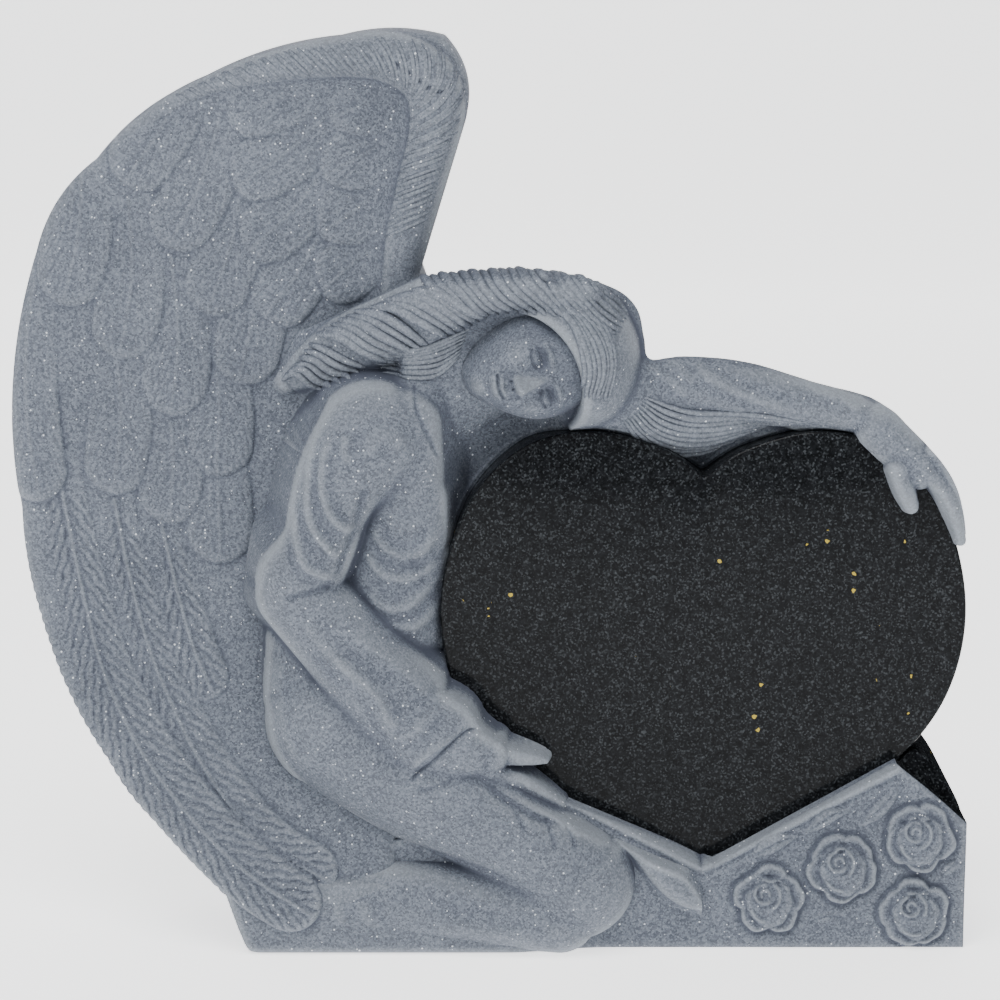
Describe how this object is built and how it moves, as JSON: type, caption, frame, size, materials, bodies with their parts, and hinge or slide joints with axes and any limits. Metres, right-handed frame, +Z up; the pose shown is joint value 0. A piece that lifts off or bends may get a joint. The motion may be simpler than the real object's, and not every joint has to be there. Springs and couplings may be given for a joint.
{
  "type": "granite memorial",
  "caption": "Upright granite memorial: a kneeling winged figure in relief leans on and embraces a polished heart, with roses on the base.",
  "frame": {"origin": "middle of the bounding box in plan, on the underside of the base", "axes": "+Z up, the carved front faces -Y, +X is to the viewer's right"},
  "size_m": [0.9568, 0.2407, 0.9094],
  "materials": {
    "granite": "frosted carving, polished heart face, rim, end and back"
  },
  "bodies": {
    "root": {"granite_monument": "granite"}
  },
  "joints": []
}
